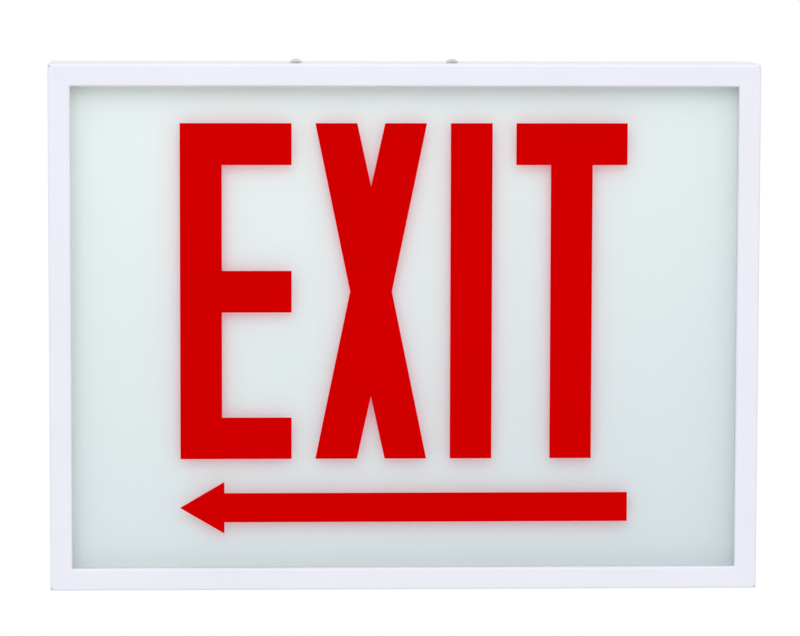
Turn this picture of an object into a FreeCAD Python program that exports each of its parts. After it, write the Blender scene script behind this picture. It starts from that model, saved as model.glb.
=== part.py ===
import FreeCAD, Part
import math
import os

# Emergency exit light, in millimetres. The origin is the centre of the back plate's outer face,
# +Z is up and the window faces -Y. Every solid is written to parts/ under its node's name.

Vector = FreeCAD.Vector
ORIGIN = Vector(0, 0, 0)
X, Y, Z = Vector(1, 0, 0), Vector(0, 1, 0), Vector(0, 0, 1)

# Housing and front frame
width = 431.8
height = 320.7
depth = 63.5
sheet = 0.9
bend_inside = 0.6
frame_depth = 15.5
border = 13.4
lip_depth = 4.0
seam = 0.3
lip_gap = 0.5
lip_reach = 6.5

# Glass stack, front to back
gasket_thickness = 0.8
glass_thickness = 3.0
spacer_thickness = 4.6
diffuser_thickness = 2.0
stack_overlap = 4.5
spacer_setback = 0.6

# Pane clips, studs and nuts
clip_sheet = 0.8
clip_width = 12.0
clip_hold = 3.0
stud_inset = 6.0
stud_radius = 1.5
stud_spare = 0.5
clips_along_top = (-140.0, 140.0)
clips_along_side = (-55.0, 55.0)
nut_flats = 5.5
nut_height = 2.4
screw_gap = 0.15

# Hinges
hinge_heights = (-105.0, 105.0)
hinge_height = 38.0
leaf_sheet = 0.8
leaf_width = 10.0
knuckle_radius = 1.6
knuckle_gap = 0.2
pin_radius = 0.8
pin_gap = 0.05
pin_head_length = 0.6
notch_gap = 0.6

# Spring catches
catch_heights = (-100.0, 100.0)
ball_radius = 2.0
ball_back = 6.0
catch_gap = 0.05
catch_sheet = 0.5
catch_length = 8.0
catch_arm = 8.0

# Back plate holes
wall_hole_radius = 3.2
wall_hole_spacing = (254.0, 203.2)
junction_hole_radius = 2.4
junction_hole_spacing = 88.9
entry_hole_radius = 11.1
entry_bore_radius = 8.0
entry_flange_radius = 13.5
entry_flange = 1.7
entry_gap = 0.1
knockout_radius = 11.1
knockout_groove = 0.5
knockout_left = 0.4
ground_place = (-62.0, -42.0)
ground_radius = 2.0
ground_head = (0.8, 4.0)

# Gear tray on the top wall
tray_centre = -18.35
tray_height = 67.45
tray_back = 6.0
tray_setback = 2.2
tray_lip = 8.0
ear_depth = 20.0
ear_drop = 21.45
tray_screw_spacing = 95.3
tray_screw_back = 22.0
tray_screw_radius = 1.75
tray_screw_head = (3.6, 2.5)
tray_nut_flats = 6.4
tray_nut_height = 2.6

# Charger board and what stands on it
board_inset = 6.5
board_rise = 8.0
board_past_terminals = 9.0
board_over_relay = 4.5
board_thickness = 1.6
standoff = 6.0
standoff_flats = 5.0
board_screw_radius = 1.25
board_screw_head = (2.5, 1.6)
board_hole_inset = 3.5
relay_place = (48.0, 30.0)
relay_size = (19.0, 15.0, 15.5)
large_capacitor = (30.0, 38.0, 6.0, 20.0)
middle_capacitor = (30.0, 24.0, 5.0, 16.0)
small_capacitor = (5.0, 14.0)
small_capacitor_gap = 2.0
sink_place = (4.0, 24.0)
sink_depth = 20.0
sink_reach = 10.0
sink_web = 2.0
fin_count = 5
fin_pitch = 4.0
fin_thickness = 1.2
regulator_inset = 3.6
fuse_place = (60.0, 18.0)
fuse_radius = 2.5
fuse_length = 20.0
fuse_lift = 4.5
terminal_place = (57.0, 0.0)
terminal_ways = 4
terminal_pitch = 6.0
terminal_size = (11.0, 10.0)
socket_size = (8.0, 6.0, 10.0)
socket_first = 12.0
socket_spacing = 12.0
socket_count = 4
lead_height = 3.0

# Transformer
core_size = (42.0, 35.0)
core_stack = 16.0
winding_swell = 5.6
transformer_gap = 7.0
transformer_inset = 5.4
transformer_rise = 30.0
transformer_sheet = 0.8
strap_gap = 0.25
transformer_tab = 8.0
transformer_lug = 16.0

# LED bars on the side walls
bar_past_board = 10.0
bar_behind_hinge = 2.45
bar_width = 17.0
bar_rise = 8.0
bar_foot = 4.4
bar_sheet = 0.8
led_board_length = 230.0
led_board_width = 13.0
led_size = (2.8, 3.5, 1.9)
led_end_room = 17.0
led_count = 8
led_screw_inset = 4.0

# Battery
cell_radius = 11.6
cell_length = 43.0
cell_count = 4
battery_inset = 65.9
battery_back = 20.0
battery_clip_sheet = 0.8
battery_clip_length = 12.0
battery_mouth = 17.0

# Test switch and charge indicator on the bottom wall
switch_inset = 65.9
switch_back = 25.0
switch_radius = 6.0
switch_flange = (8.0, 1.5)
switch_neck = 9.0
neck_lip = 2.0
switch_housing = (13.0, 12.5)
switch_nut_flats = 14.0
switch_nut_height = 2.0
button_radius = 3.5
button_gap = 0.1
button_reach = 2.0
button_collar = (4.4, 2.0)
spring_room = 7.0
spring_radius = 2.6
spring_wire = 0.35
spring_turns = 4
spring_steps = 6
indicator_inset = 43.9
indicator_back = 25.0
indicator_flange = (5.0, 1.0)
indicator_neck = 4.0
indicator_lens_radius = 2.6
hole_gap = 0.1

# Leads
lead_radius = 0.7
lead_spacing = 2.2
lead_lift = 3.2
lead_room = 0.3

# Places that follow
bend_outside = bend_inside + sheet
half_width = width / 2
half_height = height / 2
front = -depth
face_back = front + sheet
frame_rear = front + frame_depth
box_front = frame_rear + seam
plate_face = -sheet
window_x = half_width - border
window_z = half_height - border
gasket_front = front + lip_depth
glass_front = gasket_front + gasket_thickness
spacer_front = glass_front + glass_thickness
diffuser_front = spacer_front + spacer_thickness
clip_front = diffuser_front + diffuser_thickness
clip_back = clip_front + clip_sheet
hinge_y = frame_rear + seam / 2
hinge_inner = half_width - sheet
top_inside = half_height - sheet
bottom_inside = -top_inside
tray_web = -tray_back - sheet
board_back = tray_web - standoff
board_front = board_back - board_thickness
tray_front = box_front + tray_setback
tray_bottom = top_inside - tray_height
ear_top = top_inside - ear_drop
board_width = terminal_place[0] + terminal_ways * terminal_pitch + board_past_terminals
board_height = relay_place[1] + relay_size[2] + board_over_relay
transformer_half = core_size[0] / 2 + strap_gap + transformer_sheet
tray_width = board_inset + board_width + transformer_gap + 2 * transformer_half + transformer_inset
tray_left = tray_centre - tray_width / 2
board_x = tray_left + board_inset
board_z = tray_bottom + board_rise
transformer_x = board_x + board_width + transformer_gap + transformer_half
bar_length = led_board_length + 2 * bar_past_board
bar_front = hinge_y + leaf_width + bar_behind_hinge + bar_foot
bar_back = bar_front + bar_width
battery_left = -half_width + battery_inset
switch_place = (half_width - switch_inset, -switch_back)
indicator_place = (half_width - indicator_inset, -indicator_back)
led_board_x = hinge_inner - bar_rise - bar_sheet
led_middle_y = (bar_front + bar_back) / 2
collar_seat = sheet + switch_neck - neck_lip
spring_seat = collar_seat + button_collar[1]
spring_top = spring_seat + spring_room
lead_y = plate_face - lead_lift


def export(node, solids):
    """Write one node's solids to its STEP file."""
    if not isinstance(solids, list):
        solids = [solids]
    shape = solids[0] if len(solids) == 1 else Part.makeCompound(solids)
    assert all(solid.isValid() for solid in shape.Solids), node
    print(node, len(shape.Solids), round(shape.Volume, 1))
    shape.exportStep("parts/" + node + ".step")


def cuboid(x, y, z):
    """A block between two coordinates on each axis."""
    low = Vector(min(x), min(y), min(z))
    return Part.makeBox(abs(x[1] - x[0]), abs(y[1] - y[0]), abs(z[1] - z[0]), low)


def rod(radius, start, end):
    """A cylinder from start to end."""
    return Part.makeCylinder(radius, start.distanceToPoint(end), start, end - start)


def tube(outer, inner, start, end):
    """A round sleeve from start to end."""
    return rod(outer, start, end).cut(rod(inner, start, end))


def hexagon(flats, start, end):
    """A hexagonal prism along an axis from start to end."""
    along = end - start
    across = X if abs(along.normalize().x) < 0.5 else Z
    corner = start + across * (flats / math.sqrt(3))
    corners = []
    for turn in range(7):
        spin = FreeCAD.Rotation(end - start, 60 * turn)
        corners.append(start + spin.multVec(corner - start))
    return Part.Face(Part.makePolygon(corners)).extrude(end - start)


def fused(shapes):
    """One clean solid from touching shapes."""
    return shapes[0].multiFuse(shapes[1:]).removeSplitter()


def single(shape):
    """The one solid of a boolean's result."""
    return shape.removeSplitter().Solids[0]


def mirrored(shape, plane_x=0.0):
    """A left-hand copy across a plane of constant x."""
    return shape.mirror(Vector(plane_x, 0, 0), X)


def rounded_path(points, radii):
    """Edges along points, with a tangent arc of the given radius at each inner point."""
    edges = []
    start = points[0]
    for before, corner, after, radius in zip(points, points[1:], points[2:], radii):
        inward = (before - corner).normalize()
        outward = (after - corner).normalize()
        half_turn = (math.pi - inward.getAngle(outward)) / 2
        tangent = radius * math.tan(half_turn)
        first = corner + inward * tangent
        last = corner + outward * tangent
        bisector = (inward + outward).normalize()
        middle = corner + bisector * (radius / math.cos(half_turn) - radius)
        edges.append(Part.LineSegment(start, first).toShape())
        edges.append(Part.Arc(first, middle, last).toShape())
        start = last
    edges.append(Part.LineSegment(start, points[-1]).toShape())
    return edges


def folded_strip(points, thickness, run):
    """Sheet bent along points, thickened towards run x direction, centred on run's middle."""
    along = Vector(run).normalize()
    ways = [(after - before).normalize() for before, after in zip(points, points[1:])]
    sides = [along.cross(way) for way in ways]
    offset = [points[0] + sides[0] * thickness]
    radii, offset_radii = [], []
    for corner, side, way, next_side in zip(points[1:], sides, ways[1:], sides[1:]):
        offset.append(corner + (side + next_side) * (thickness / (1 + side.dot(next_side))))
        towards = way.dot(side) > 0
        radii.append(bend_inside + thickness * towards)
        offset_radii.append(bend_inside + thickness * (not towards))
    offset.append(points[-1] + sides[-1] * thickness)
    edges = rounded_path(points, radii) + rounded_path(offset, offset_radii)
    edges.append(Part.LineSegment(points[0], offset[0]).toShape())
    edges.append(Part.LineSegment(points[-1], offset[-1]).toShape())
    profile = Part.Face(Part.Wire(Part.sortEdges(edges)[0]))
    profile.translate(run * -0.5)
    return profile.extrude(run)


def four_sides(build):
    """The sides of a rectangle, each built as the top one from half its run and half the span."""
    shapes = []
    for quarter in range(4):
        halves = (half_width, half_height) if quarter % 2 == 0 else (half_height, half_width)
        shape = build(*halves)
        shape.rotate(ORIGIN, Y, 90 * quarter)
        shapes.append(shape)
    return shapes


def corner_tabs(y_from, y_to):
    """The ends of the top and bottom walls that close the corners over the side walls."""
    tabs = []
    for x_sign in (-1, 1):
        for z_sign in (-1, 1):
            x = (x_sign * (half_width - bend_outside), x_sign * half_width)
            z = (z_sign * top_inside, z_sign * half_height)
            tabs.append(cuboid(x, (y_from, y_to), z))
    return tabs


def ring(outer_growth, inner_growth, y_from, y_to):
    """A rectangular ring, or with no inner growth a plate, sized by its growth past the window."""
    outer_x, outer_z = window_x + outer_growth, window_z + outer_growth
    plate = cuboid((-outer_x, outer_x), (y_from, y_to), (-outer_z, outer_z))
    if inner_growth is None:
        return plate
    inner_x, inner_z = window_x + inner_growth, window_z + inner_growth
    return single(plate.cut(cuboid((-inner_x, inner_x), (y_from, y_to), (-inner_z, inner_z))))


def hinge_notch(y_from, y_to):
    """The gaps in a side wall that take the hinge knuckles."""
    half = hinge_height / 2 + notch_gap
    gaps = []
    for z in hinge_heights:
        gaps.append(cuboid((hinge_inner - sheet, half_width + sheet), (y_from, y_to), (z - half, z + half)))
    return gaps


def front_frame():
    """The one-piece folded front: face, window return and outer flanges."""
    def outer_flange(half_run, half_span):
        points = [
            Vector(0, frame_rear, half_span),
            Vector(0, front, half_span),
            Vector(0, front, half_span - 2 * bend_outside),
        ]
        return folded_strip(points, sheet, X * (2 * (half_run - bend_outside)))

    def window_return(half_run, half_span):
        edge = half_span - border
        points = [
            Vector(0, front, edge + 2 * bend_outside),
            Vector(0, front, edge),
            Vector(0, gasket_front, edge),
        ]
        reach = 2 * bend_outside
        strip = folded_strip(points, sheet, X * (2 * (half_run - border + reach)))
        inner, outer = half_run - border, half_run - border + reach
        mitre = Part.Face(Part.makePolygon([
            Vector(-inner, front - 1, edge),
            Vector(inner, front - 1, edge),
            Vector(outer, front - 1, edge + reach),
            Vector(-outer, front - 1, edge + reach),
            Vector(-inner, front - 1, edge),
        ])).extrude(Y * (lip_depth + 2))
        return strip.common(mitre).Solids[0]

    face = ring(border - bend_outside, bend_outside, front, face_back)
    tabs = corner_tabs(front + bend_outside, frame_rear)
    frame = fused([face] + four_sides(outer_flange) + four_sides(window_return) + tabs)
    reach = knuckle_radius + notch_gap
    return single(frame.cut(hinge_notch(hinge_y - reach, frame_rear + seam)))


def wall_with_lip(half_run, half_span):
    """A box wall whose front edge steps in to lie behind the frame's flange."""
    step = sheet + lip_gap
    points = [
        Vector(0, 0, half_span - 2 * bend_outside),
        Vector(0, 0, half_span),
        Vector(0, box_front + step, half_span),
        Vector(0, box_front, half_span - step),
        Vector(0, box_front - lip_reach, half_span - step),
    ]
    return folded_strip(points, sheet, X * (2 * (half_run - bend_outside)))


def plain_wall(half_run, half_span):
    """The box wall on the hinge side, square at its front edge."""
    points = [
        Vector(0, 0, half_span - 2 * bend_outside),
        Vector(0, 0, half_span),
        Vector(0, box_front, half_span),
    ]
    return folded_strip(points, sheet, X * (2 * (half_run - bend_outside)))


def tray_screw_places():
    """The x of the two screws that hang the gear tray."""
    return (tray_centre - tray_screw_spacing / 2, tray_centre + tray_screw_spacing / 2)


def knockouts():
    """Half-sheared discs in both end walls and the top wall, as the grooves that part them."""
    middle = -depth / 2 + sheet
    centres = [
        (Vector(-half_width, middle, 0), X),
        (Vector(half_width, middle, 0), X * -1),
        (Vector(-half_width / 2 - tray_width / 4, middle, half_height), Z * -1),
    ]
    grooves = []
    for centre, inward in centres:
        outer = knockout_radius + knockout_groove
        end = centre + inward * (sheet - knockout_left)
        grooves.append(tube(outer, knockout_radius, centre - inward, end))
    return grooves


def wall_hole_places():
    """The x and z of the four wall screws."""
    half_x, half_z = wall_hole_spacing[0] / 2, wall_hole_spacing[1] / 2
    return [(x, z) for x in (-half_x, half_x) for z in (-half_z, half_z)]


def back_box():
    """The folded rear box with its wall, junction-box, entry and switch holes."""
    wide, tall = half_width - bend_outside, half_height - bend_outside
    plate = cuboid((-wide, wide), (plate_face, 0), (-tall, tall))
    lipped = four_sides(wall_with_lip)
    plain = four_sides(plain_wall)
    walls = [lipped[0], plain[1], lipped[2], lipped[3]]
    tabs = corner_tabs(box_front + sheet + lip_gap, -bend_outside)
    box = fused([plate] + walls + tabs)
    holes = [rod(wall_hole_radius, Vector(x, -1, z), Vector(x, 1, z)) for x, z in wall_hole_places()]
    for x in (-junction_hole_spacing / 2, junction_hole_spacing / 2):
        holes.append(rod(junction_hole_radius, Vector(x, -1, 0), Vector(x, 1, 0)))
    holes.append(rod(entry_hole_radius, Vector(0, -1, 0), Vector(0, 1, 0)))
    x, z = ground_place
    holes.append(rod(ground_radius, Vector(x, -1, z), Vector(x, 1, z)))
    for x in tray_screw_places():
        y = front + tray_screw_back
        radius = tray_screw_radius + screw_gap
        holes.append(rod(radius, Vector(x, y, top_inside - 1), Vector(x, y, half_height + 1)))
    for place, radius in ((switch_place, switch_radius), (indicator_place, indicator_neck)):
        x, y = place
        low, high = Vector(x, y, -half_height - 1), Vector(x, y, bottom_inside + 1)
        holes.append(rod(radius + hole_gap, low, high))
    reach = knuckle_radius + notch_gap
    notches = hinge_notch(box_front - seam, hinge_y + reach)
    return single(box.cut(holes + notches + knockouts()))


def hinge_knuckles():
    """The three knuckles' heights, each as low and high from the hinge's middle."""
    third = (hinge_height - 2 * knuckle_gap) / 3
    lows = [-hinge_height / 2 + place * (third + knuckle_gap) for place in range(3)]
    return [(low, low + third) for low in lows]


def hinge_leaf(z, side, own):
    """One leaf with its knuckles: side is +1 on the box and -1 on the door."""
    x = (hinge_inner - leaf_sheet, hinge_inner)
    half = hinge_height / 2
    leaf = cuboid(x, (hinge_y, hinge_y + side * leaf_width), (z - half, z + half))
    clear = side * (knuckle_radius + 2 * knuckle_gap)
    knuckles = []
    gaps = []
    for place, (low, high) in enumerate(hinge_knuckles()):
        if place in own:
            start = Vector(half_width, hinge_y, z + low)
            knuckles.append(rod(knuckle_radius, start, start + Z * (high - low)))
        else:
            spread = (z + low - knuckle_gap, z + high + knuckle_gap)
            gaps.append(cuboid(x, (hinge_y, hinge_y + clear), spread))
    body = fused([leaf.cut(gaps)] + knuckles)
    low, high = Vector(half_width, hinge_y, z - half), Vector(half_width, hinge_y, z + half)
    return single(body.cut(rod(pin_radius + pin_gap, low, high)))


def hinge_pin(z):
    """A pin with a flat head on each end."""
    half = hinge_height / 2
    low, high = Vector(half_width, hinge_y, z - half), Vector(half_width, hinge_y, z + half)
    head_radius = (pin_radius + knuckle_radius) / 2
    head = Z * pin_head_length
    shank = rod(pin_radius, low, high)
    return fused([shank, rod(head_radius, high, high + head), rod(head_radius, low - head, low)])


def along_border(build, top_places, side_places):
    """Copies round the frame's border, each built as on the top rail at its half span."""
    shapes = []
    for quarter in range(4):
        span = half_height if quarter % 2 == 0 else half_width
        for place in (top_places if quarter % 2 == 0 else side_places):
            shape = build(span)
            shape.translate(X * place)
            shape.rotate(ORIGIN, Y, 90 * quarter)
            shapes.append(shape)
    return shapes


def clip_stud(span):
    """A weld stud on the back of the frame's face."""
    z = span - stud_inset
    end = clip_back + nut_height + stud_spare
    return rod(stud_radius, Vector(0, face_back, z), Vector(0, end, z))


def pane_clip(span):
    """A folded clip: its heel stands on the frame's face and its toe presses the diffuser."""
    heel = span - stud_inset + nut_flats / 2 + lip_gap / 2
    toe = span - border + stack_overlap - clip_hold
    points = [Vector(0, face_back, heel), Vector(0, clip_back, heel), Vector(0, clip_back, toe)]
    strip = folded_strip(points, clip_sheet, X * -clip_width)
    z = span - stud_inset
    hole = rod(stud_radius + screw_gap, Vector(0, clip_front - 1, z), Vector(0, clip_back + 1, z))
    return single(strip.cut(hole))


def clip_nut(span):
    """A hexagon nut on a stud, against its clip."""
    z = span - stud_inset
    start, end = Vector(0, clip_back, z), Vector(0, clip_back + nut_height, z)
    return hexagon(nut_flats, start, end).cut(rod(stud_radius, start, end))


def catch_stud(z):
    """A ball-headed stud on the frame, opposite the hinges."""
    x = -half_width + stud_inset
    ball_y = box_front + ball_back
    neck_y = ball_y - math.sqrt(ball_radius ** 2 - stud_radius ** 2)
    profile = [
        Part.LineSegment(Vector(x, face_back, z), Vector(x + stud_radius, face_back, z)).toShape(),
        Part.LineSegment(Vector(x + stud_radius, face_back, z), Vector(x + stud_radius, neck_y, z)).toShape(),
        Part.Arc(
            Vector(x + stud_radius, neck_y, z),
            Vector(x + ball_radius, ball_y, z),
            Vector(x, ball_y + ball_radius, z),
        ).toShape(),
        Part.LineSegment(Vector(x, ball_y + ball_radius, z), Vector(x, face_back, z)).toShape(),
    ]
    return Part.Face(Part.Wire(profile)).revolve(Vector(x, 0, z), Y, 360)


def catch_clip(z):
    """A spring clip on the box's wall, whose two arms hold the stud's ball."""
    reach = ball_radius + catch_gap + catch_sheet
    wall = -hinge_inner
    points = [
        Vector(wall + catch_arm, 0, z + reach),
        Vector(wall, 0, z + reach),
        Vector(wall, 0, z - reach),
        Vector(wall + catch_arm, 0, z - reach),
    ]
    clip = folded_strip(points, catch_sheet, Y * -catch_length)
    clip.translate(Y * (box_front + ball_back))
    return clip


def entry_bushing():
    """The insulating bushing snapped into the wire entry."""
    profile = [
        Vector(entry_bore_radius, 0, 0),
        Vector(entry_hole_radius - entry_gap, 0, 0),
        Vector(entry_hole_radius - entry_gap, plate_face, 0),
        Vector(entry_flange_radius, plate_face, 0),
        Vector(entry_flange_radius - 0.5, plate_face - entry_flange, 0),
        Vector(entry_bore_radius, plate_face - entry_flange, 0),
        Vector(entry_bore_radius, 0, 0),
    ]
    return Part.Face(Part.makePolygon(profile)).revolve(ORIGIN, Y, 360)


def ground_screw():
    """A hexagon-headed earth screw with its cup washer, inside the back plate."""
    x, z = ground_place
    plate = Vector(x, plate_face, z)
    under, top = plate - Y * ground_head[0], plate - Y * ground_head[1]
    washer = rod(2.4 * ground_radius, plate, under)
    head = hexagon(3.6 * ground_radius, under, top)
    shank = rod(ground_radius - screw_gap / 2, plate, plate + Y * sheet)
    reach = 4 * ground_radius
    slot = cuboid((x - reach, x + reach), (top.y, top.y + ground_head[0]), (z - 0.5, z + 0.5))
    return single(fused([washer, head, shank]).cut(slot))


def gear_tray():
    """The folded tray that hangs from the top wall and carries the charger."""
    points = [
        Vector(tray_centre, -tray_back - tray_lip, tray_bottom),
        Vector(tray_centre, -tray_back, tray_bottom),
        Vector(tray_centre, -tray_back, top_inside),
        Vector(tray_centre, tray_front, top_inside),
    ]
    tray = folded_strip(points, sheet, X * tray_width)
    ear_low = tray_bottom + tray_lip / 2
    middle = (ear_low + ear_top) / 2
    points = [
        Vector(tray_left - sheet, -tray_back - ear_depth, middle),
        Vector(tray_left - sheet, -tray_back, middle),
        Vector(tray_left + sheet, -tray_back, middle),
    ]
    ear = folded_strip(points, sheet, Z * (ear_low - ear_top))
    holes = []
    for x in tray_screw_places():
        y = front + tray_screw_back
        radius = tray_screw_radius + screw_gap
        holes.append(rod(radius, Vector(x, y, top_inside - 2), Vector(x, y, top_inside + 1)))
    for x, z in standoff_places():
        holes.append(rod(board_screw_radius, Vector(x, tray_web - 1, z), Vector(x, 0, z)))
    for x, z in transformer_lugs():
        holes.append(rod(board_screw_radius, Vector(x, tray_web - 1, z), Vector(x, 0, z)))
    return single(fused([tray, ear, mirrored(ear, tray_centre)]).cut(holes))


def tray_screw(x):
    """A pan-head screw through the top wall, with a cross recess."""
    y = front + tray_screw_back
    radius, rise = tray_screw_head
    seat = Vector(x, y, half_height)
    crown = rise * 0.55
    profile = [
        Part.LineSegment(seat, seat + X * radius).toShape(),
        Part.LineSegment(seat + X * radius, seat + X * radius + Z * (rise - crown)).toShape(),
        Part.Arc(
            seat + X * radius + Z * (rise - crown),
            seat + X * (radius * 0.75) + Z * (rise - crown * 0.32),
            seat + Z * rise,
        ).toShape(),
        Part.LineSegment(seat + Z * rise, seat).toShape(),
    ]
    head = Part.Face(Part.Wire(profile)).revolve(seat, Z, 360)
    tip = top_inside - sheet - tray_nut_height - 2.0
    shank = rod(tray_screw_radius, Vector(x, y, tip), seat)
    arm, blade = 0.55 * radius, 0.12 * radius
    floor = half_height + rise * 0.45
    recess = [
        cuboid((x - arm, x + arm), (y - blade, y + blade), (floor, half_height + 2 * rise)),
        cuboid((x - blade, x + blade), (y - arm, y + arm), (floor, half_height + 2 * rise)),
    ]
    return single(fused([head, shank]).cut(recess))


def tray_nut(x):
    """The locknut with its toothed washer, under the tray's flange."""
    seat = Vector(x, front + tray_screw_back, top_inside - sheet)
    washer = rod(tray_nut_flats / 2 + 0.4, seat, seat - Z * 0.6)
    nut = hexagon(tray_nut_flats, seat - Z * 0.6, seat - Z * tray_nut_height)
    return single(fused([washer, nut]).cut(rod(tray_screw_radius, seat + Z, seat - Z * 4)))


def standoff_places():
    """The x and z of the board's four corner holes."""
    inset = board_hole_inset
    xs = (board_x + inset, board_x + board_width - inset)
    zs = (board_z + inset, board_z + board_height - inset)
    return [(x, z) for x in xs for z in zs]


def charger_board():
    """The circuit board on its standoffs."""
    x = (board_x, board_x + board_width)
    z = (board_z, board_z + board_height)
    holes = []
    for hole_x, hole_z in standoff_places():
        start = Vector(hole_x, board_back + 1, hole_z)
        holes.append(rod(board_screw_radius + screw_gap, start, Vector(hole_x, board_front - 1, hole_z)))
    return single(cuboid(x, (board_front, board_back), z).cut(holes))


def board_standoff(x, z):
    """A tapped hexagon spacer between the tray and the board."""
    start, end = Vector(x, tray_web, z), Vector(x, board_back, z)
    return hexagon(standoff_flats, start, end).cut(rod(board_screw_radius, start, end))


def pan_screw(seat, outward, grip):
    """A small pan-head screw: its head on the seat, its shank going in by grip."""
    radius, rise = board_screw_head
    head = rod(radius, seat, seat + outward * rise)
    rim = [edge for edge in head.Edges if abs((edge.CenterOfMass - seat).dot(outward) - rise) < 0.01]
    head = head.makeFillet(rise * 0.45, rim)
    shank = rod(board_screw_radius - pin_gap, seat, seat - outward * grip)
    across = outward.cross(Z if abs(outward.z) < 0.5 else X)
    other = outward.cross(across)
    slot = cuboid((-radius * 0.65, radius * 0.65), (-radius * 0.12, radius * 0.12), (rise * 0.5, rise * 2))
    slot.Placement = FreeCAD.Placement(seat, FreeCAD.Rotation(across, other, outward))
    return single(fused([head, shank]).cut(slot))


def on_board(x, z):
    """A point on the board's front face, from the board's lower left corner."""
    return Vector(board_x + x, board_front, board_z + z)


def capacitor(x, z, radius, rise):
    """An electrolytic capacitor with its rolled groove."""
    foot = on_board(x, z)
    profile = [
        Vector(0, 0, 0),
        Vector(radius, 0, 0),
        Vector(radius, -rise * 0.1, 0),
        Vector(radius - 0.4, -rise * 0.14, 0),
        Vector(radius, -rise * 0.18, 0),
        Vector(radius, -rise + 0.4, 0),
        Vector(radius - 0.4, -rise, 0),
        Vector(0, -rise, 0),
        Vector(0, 0, 0),
    ]
    can = Part.Face(Part.makePolygon(profile)).revolve(ORIGIN, Y, 360)
    can.translate(foot)
    return can


def relay():
    """The changeover relay."""
    foot = on_board(*relay_place)
    wide, deep, tall = relay_size
    case = cuboid((foot.x, foot.x + wide), (foot.y, foot.y - deep), (foot.z, foot.z + tall))
    upright = [edge for edge in case.Edges if abs(edge.tangentAt(edge.FirstParameter).y) > 0.9]
    return case.makeFillet(0.8, upright)


def heat_sink():
    """A finned aluminium heat sink standing on the board."""
    foot = on_board(*sink_place)
    y = (foot.y, foot.y - sink_depth)
    spread = fin_pitch * (fin_count - 1) + fin_thickness
    parts = [cuboid((foot.x, foot.x + spread), y, (foot.z, foot.z + sink_web))]
    for fin in range(fin_count):
        left = foot.x + fin * fin_pitch
        parts.append(cuboid((left, left + fin_thickness), y, (foot.z + sink_web, foot.z + sink_reach)))
    return fused(parts)


def regulator():
    """The charge regulator screwed under the heat sink."""
    foot = on_board(*sink_place) + X * regulator_inset
    case = cuboid((foot.x, foot.x + 10.0), (foot.y - 4.0, foot.y - 13.0), (foot.z, foot.z - 4.4))
    tab = cuboid((foot.x, foot.x + 10.0), (foot.y - 13.0, foot.y - 19.0), (foot.z, foot.z - 1.3))
    legs = []
    for leg in range(3):
        left = foot.x + 2.1 + 2.54 * leg
        legs.append(cuboid((left, left + 0.7), (foot.y, foot.y - 4.0), (foot.z - 2.6, foot.z - 2.1)))
    return fused([case, tab] + legs)


def fuse_middle():
    """The middle of the fuse, over the board."""
    return on_board(*fuse_place) - Y * fuse_lift


def fuse():
    """A glass cartridge fuse with its end caps."""
    middle = fuse_middle()
    half = X * (fuse_length / 2)
    body = rod(fuse_radius - 0.15, middle - half, middle + half)
    caps = [
        rod(fuse_radius, middle - half, middle - half * 0.5),
        rod(fuse_radius, middle + half * 0.5, middle + half),
    ]
    return fused([body] + caps)


def fuse_clip(side):
    """A spring clip that holds one cap of the fuse, open towards the front."""
    middle = fuse_middle() + X * (side * fuse_length * 0.36)
    width_half = X * 2.0
    start, end = middle - width_half, middle + width_half
    cradle = tube(fuse_radius + 0.45, fuse_radius, start, end)
    mouth = cuboid((start.x, end.x), (middle.y - 5, middle.y - 1.2), (middle.z - 4, middle.z + 4))
    foot = cuboid((start.x, end.x), (board_front, middle.y + fuse_radius), (middle.z - 1.6, middle.z + 1.6))
    return single(fused([cradle, foot]).cut(rod(fuse_radius, start, end)).cut(mouth))


def terminal_block():
    """The supply terminals: wire mouths below, clamp screws in front."""
    deep, tall = terminal_size
    foot = on_board(*terminal_place)
    x = (foot.x, foot.x + terminal_ways * terminal_pitch)
    block = cuboid(x, (foot.y, foot.y - deep), (foot.z, foot.z + tall))
    cuts = []
    for way in range(terminal_ways):
        middle = foot.x + (way + 0.5) * terminal_pitch
        mouth_x = (middle - 0.3 * terminal_pitch, middle + 0.3 * terminal_pitch)
        mouth_y = (foot.y - 0.2 * deep, foot.y - 0.55 * deep)
        cuts.append(cuboid(mouth_x, mouth_y, (foot.z - 1, foot.z + 0.5 * tall)))
        screw = Vector(middle, foot.y - 0.7 * deep, foot.z + 0.6 * tall)
        cuts.append(rod(0.3 * terminal_pitch, screw, screw - Y * deep))
    return single(block.cut(cuts))


def socket_x(place):
    """The x of a socket's first lead."""
    return board_x + socket_first + place * socket_spacing


def lead_socket(place):
    """A two-way shrouded socket, with its mouth at the board's lower edge."""
    wide, deep, tall = socket_size
    middle = socket_x(place) + lead_spacing / 2
    x = (middle - wide / 2, middle + wide / 2)
    top = board_front - deep
    shell = cuboid(x, (board_front, top), (board_z, board_z + tall))
    step = cuboid(x, (top + 0.2 * deep, top), (board_z + 0.6 * tall, board_z + tall))
    return single(shell.cut(step))


def transformer_centre():
    """The middle of the transformer's core."""
    y = tray_web - transformer_sheet - winding_swell - core_stack / 2
    return Vector(transformer_x, y, tray_bottom + transformer_rise)


def transformer_lugs():
    """The x and z of the transformer's two screws."""
    middle = transformer_centre()
    reach = core_size[1] / 2 + transformer_lug / 4
    return [(middle.x, middle.z - reach), (middle.x, middle.z + reach)]


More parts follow.
